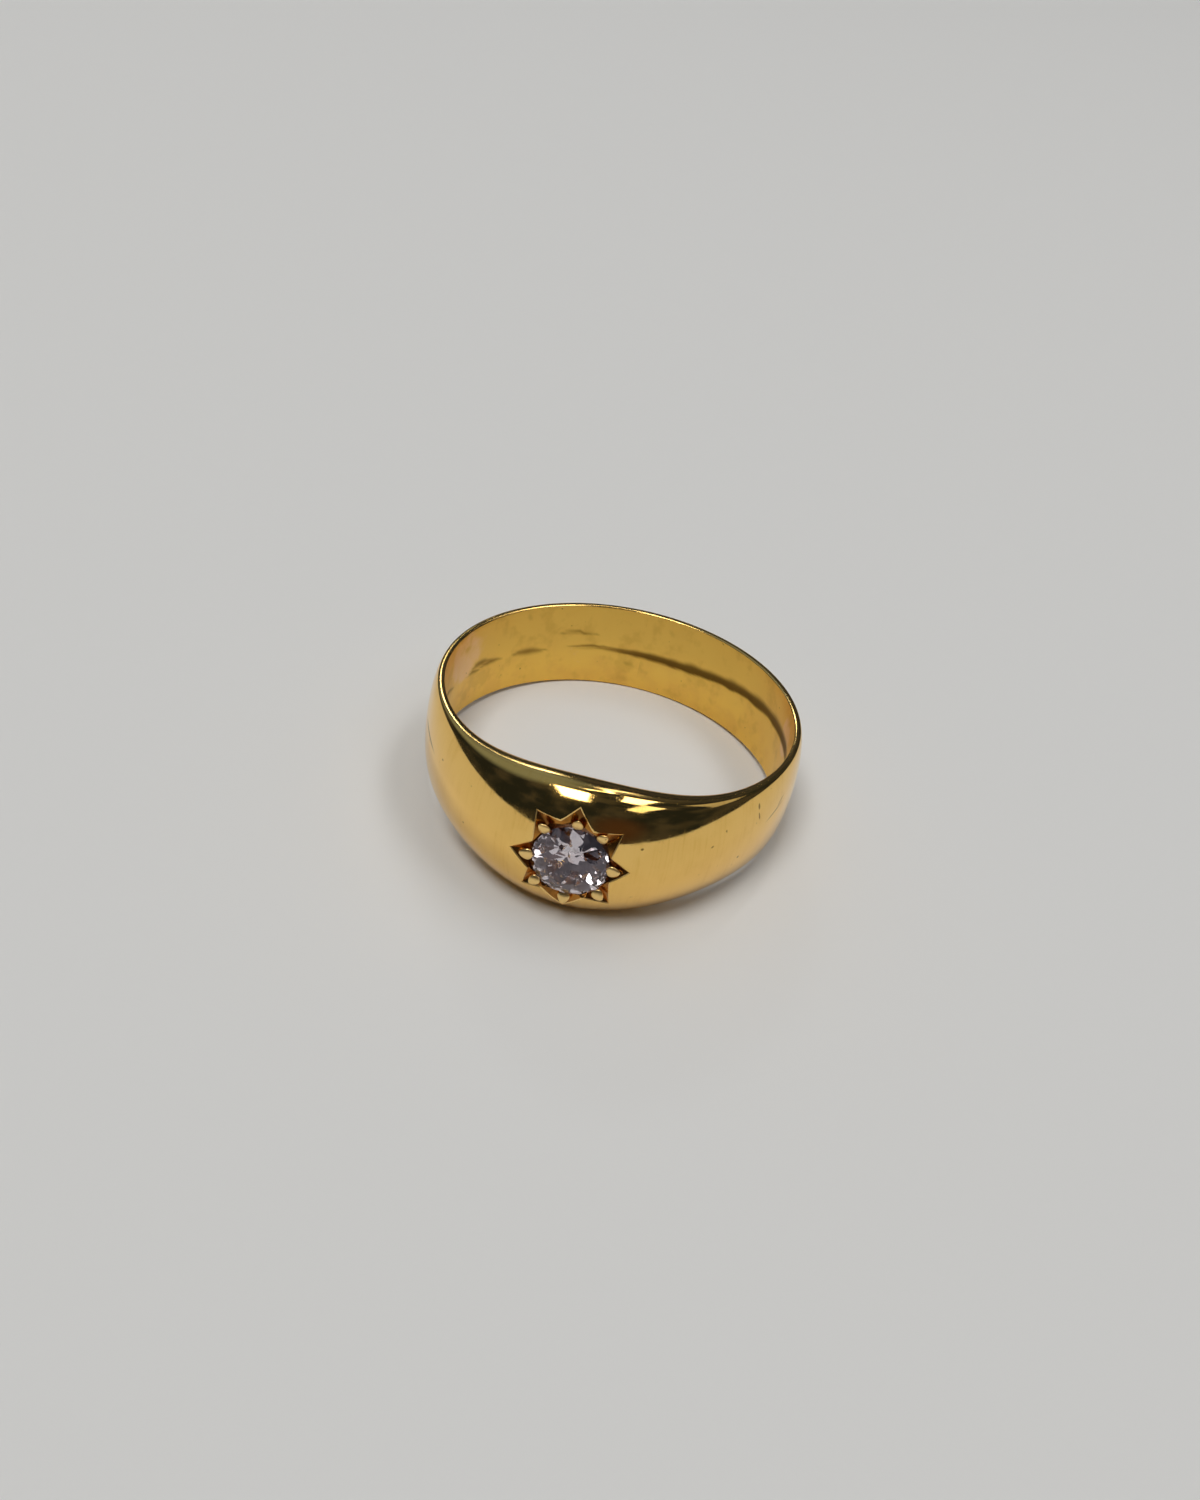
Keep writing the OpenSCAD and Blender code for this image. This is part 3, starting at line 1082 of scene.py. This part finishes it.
def makeRoom(world):
    plan = lightPlan
    world.use_nodes = True
    nodes = world.node_tree.nodes
    sky = nodes["Background"]
    sky.name = "room"
    around = addNode(nodes, "TexCoord").outputs["Generated"]
    clutter = addNode(nodes, "TexNoise", Vector=around, **plan["clutter"]).outputs["Fac"]
    room = blend(nodes, ramp(nodes, clutter, *plan["clutterRange"]), plan["dark"], plan["dim"])
    for name in ("haze", "warm"):
        direction, edge, core, colour = plan[name]
        toward = addPair(nodes, "VectorMath", {"operation": "DOT_PRODUCT"}, around, direction)
        room = blend(nodes, ramp(nodes, toward.outputs["Value"], edge, core), room, colour)
    feed(sky.inputs["Color"], room)
    # The camera itself sees a pale backdrop
    backdrop = addNode(nodes, "Background", Color=plan["backdrop"])
    path = addNode(nodes, "LightPath")
    both = addNode(nodes, "MixShader", Fac=path.outputs["Is Camera Ray"])
    feed(both.inputs[1], sky.outputs[0])
    feed(both.inputs[2], backdrop.outputs[0])
    feed(nodes["World Output"].inputs["Surface"], both.outputs[0])


def setLights():
    plan = lightPlan
    scene = bpy.context.scene
    for name in ("max_bounces", "glossy_bounces", "transmission_bounces"):
        setattr(scene.cycles, name, plan["bounces"])
    scene.world = bpy.data.worlds.new("studio")
    makeRoom(scene.world)
    height = plan["ceiling"]
    for name, (*sizes, turn, radiance) in plan["panels"].items():
        x, y, width, depth = (height * size for size in sizes)
        addPanel(name, (x, y, height), (x, y, 0), (width, depth), radiance, plan["colour"], turn)
    turn, elevation, distance, width, tall, radiance = plan["window"]
    place = pointing(turn, elevation) * distance
    addPanel("window", place, (0, 0, 0), (width, tall), radiance, plan["windowColour"])


def addPanel(name, place, target, size, radiance, colour, turn=0):
    light = bpy.data.lights.new(name, "AREA")
    light.shape = "RECTANGLE"
    light.size, light.size_y = size
    light.energy = radiance * math.pi * size[0] * size[1]
    light.color = colour
    lamp = bpy.data.objects.new(name, light)
    bpy.context.scene.collection.objects.link(lamp)
    lamp.location = place
    aim = (Vector(target) - Vector(place)).to_track_quat("-Z", "Y").to_matrix().to_4x4()
    lamp.rotation_euler = (Matrix.Rotation(math.radians(turn), 4, "Z") @ aim).to_euler()


layFloor()
aimCamera()
setLights()
bpy.context.scene.view_settings.view_transform = "Standard"
print("floor, camera and light set")

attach(band, "root")
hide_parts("band")
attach(stone, "root")
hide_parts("stone")
